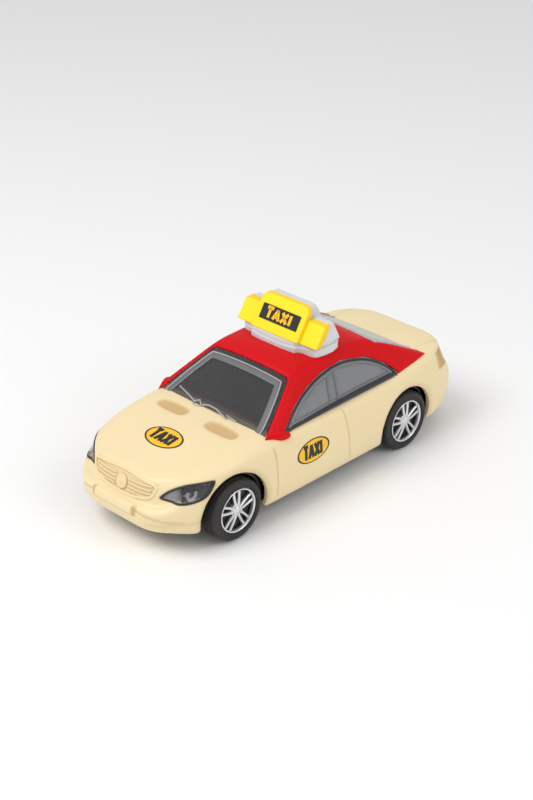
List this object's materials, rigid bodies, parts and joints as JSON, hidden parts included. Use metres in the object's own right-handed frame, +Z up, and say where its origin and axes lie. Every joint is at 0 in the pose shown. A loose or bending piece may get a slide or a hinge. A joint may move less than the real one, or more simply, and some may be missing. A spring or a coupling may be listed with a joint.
{
  "type": "friction toy car",
  "caption": "Friction-drive toy taxi saloon with a two-tone moulded body, spoked wheels, roof sign and a geared flywheel motor on the rear axle.",
  "frame": {"origin": "on the ground under the middle of the car, at the centre of the bounding box's bottom", "axes": "+X forwards along the car, +Y to the car's left, +Z up"},
  "size_m": [0.133, 0.0542, 0.0543],
  "materials": {
    "cream_plastic": "smooth moulded, low sheen",
    "red_plastic": "smooth moulded, glossy",
    "smoked_glazing": "smoke-grey glossy moulding",
    "interior_plastic": "satin moulded",
    "lamp_lens": "smoked glossy lens",
    "lamp_bowl": "bright",
    "sign_clear": "translucent, glossy",
    "sign_yellow": "smooth moulded, glossy",
    "sign_label_print": "printed sticker",
    "oval_label_print": "printed sticker",
    "tyre_rubber": "soft black rubber",
    "black_plastic": "satin moulded",
    "silver_rim": "vacuum-metallised silver",
    "motor_case_plastic": "satin moulded",
    "gear_nylon": "natural nylon",
    "pinion_brass": "turned",
    "steel": "drawn wire and turned"
  },
  "bodies": {
    "car": {"body_shell": "cream_plastic", "roof_shell": "red_plastic", "windscreen": "smoked_glazing", "rear_window": "smoked_glazing", "side_window_left": "smoked_glazing", "side_window_right": "smoked_glazing", "interior": "interior_plastic", "headlamp_lens_left": "lamp_lens", "headlamp_lens_right": "lamp_lens", "headlamp_bowl_left": "lamp_bowl", "headlamp_bowl_right": "lamp_bowl", "sign_base": "sign_clear", "sign_housing": "sign_clear", "sign_face": "sign_yellow", "sign_label": "sign_label_print", "bonnet_label": "oval_label_print", "door_label_left": "oval_label_print", "door_label_right": "oval_label_print", "chassis": "black_plastic", "motor_case_left": "motor_case_plastic", "motor_case_right": "motor_case_plastic", "chassis_screws": "steel", "motor_screws": "steel", "case_screws": "steel"},
    "front_wheels": {"front_axle": "steel", "tyre_front_left": "tyre_rubber", "tyre_front_right": "tyre_rubber", "wheel_core_front_left": "black_plastic", "wheel_core_front_right": "black_plastic", "rim_cap_front_left": "silver_rim", "rim_cap_front_right": "silver_rim"},
    "rear_wheels": {"rear_axle": "steel", "axle_gear": "gear_nylon", "tyre_rear_left": "tyre_rubber", "tyre_rear_right": "tyre_rubber", "wheel_core_rear_left": "black_plastic", "wheel_core_rear_right": "black_plastic", "rim_cap_rear_left": "silver_rim", "rim_cap_rear_right": "silver_rim"},
    "lay_gears": {"lay_shaft": "steel", "lay_gear": "gear_nylon"},
    "flywheel_set": {"flywheel_shaft": "steel", "flywheel_pinion": "pinion_brass", "flywheel": "steel"}
  },
  "joints": [
    {"name": "front_axle_spin", "type": "hinge", "parent": "car", "child": "front_wheels", "pos_m": [0.0405, 0, 0.00985], "axis": [0, 1, 0], "continuous": true},
    {"name": "rear_axle_spin", "type": "hinge", "parent": "car", "child": "rear_wheels", "pos_m": [-0.0355, 0, 0.00985], "axis": [0, 1, 0], "continuous": true},
    {"name": "lay_gear_spin", "type": "hinge", "parent": "car", "child": "lay_gears", "pos_m": [-0.02664, 0, 0.01141], "axis": [0, 1, 0], "continuous": true},
    {"name": "flywheel_spin", "type": "hinge", "parent": "car", "child": "flywheel_set", "pos_m": [-0.01777, 0, 0.01298], "axis": [0, 1, 0], "continuous": true}
  ],
  "couplings": [
    {"joint": "lay_gear_spin", "follows": "rear_axle_spin", "ratio": -2.6},
    {"joint": "flywheel_spin", "follows": "rear_axle_spin", "ratio": 9.1}
  ]
}
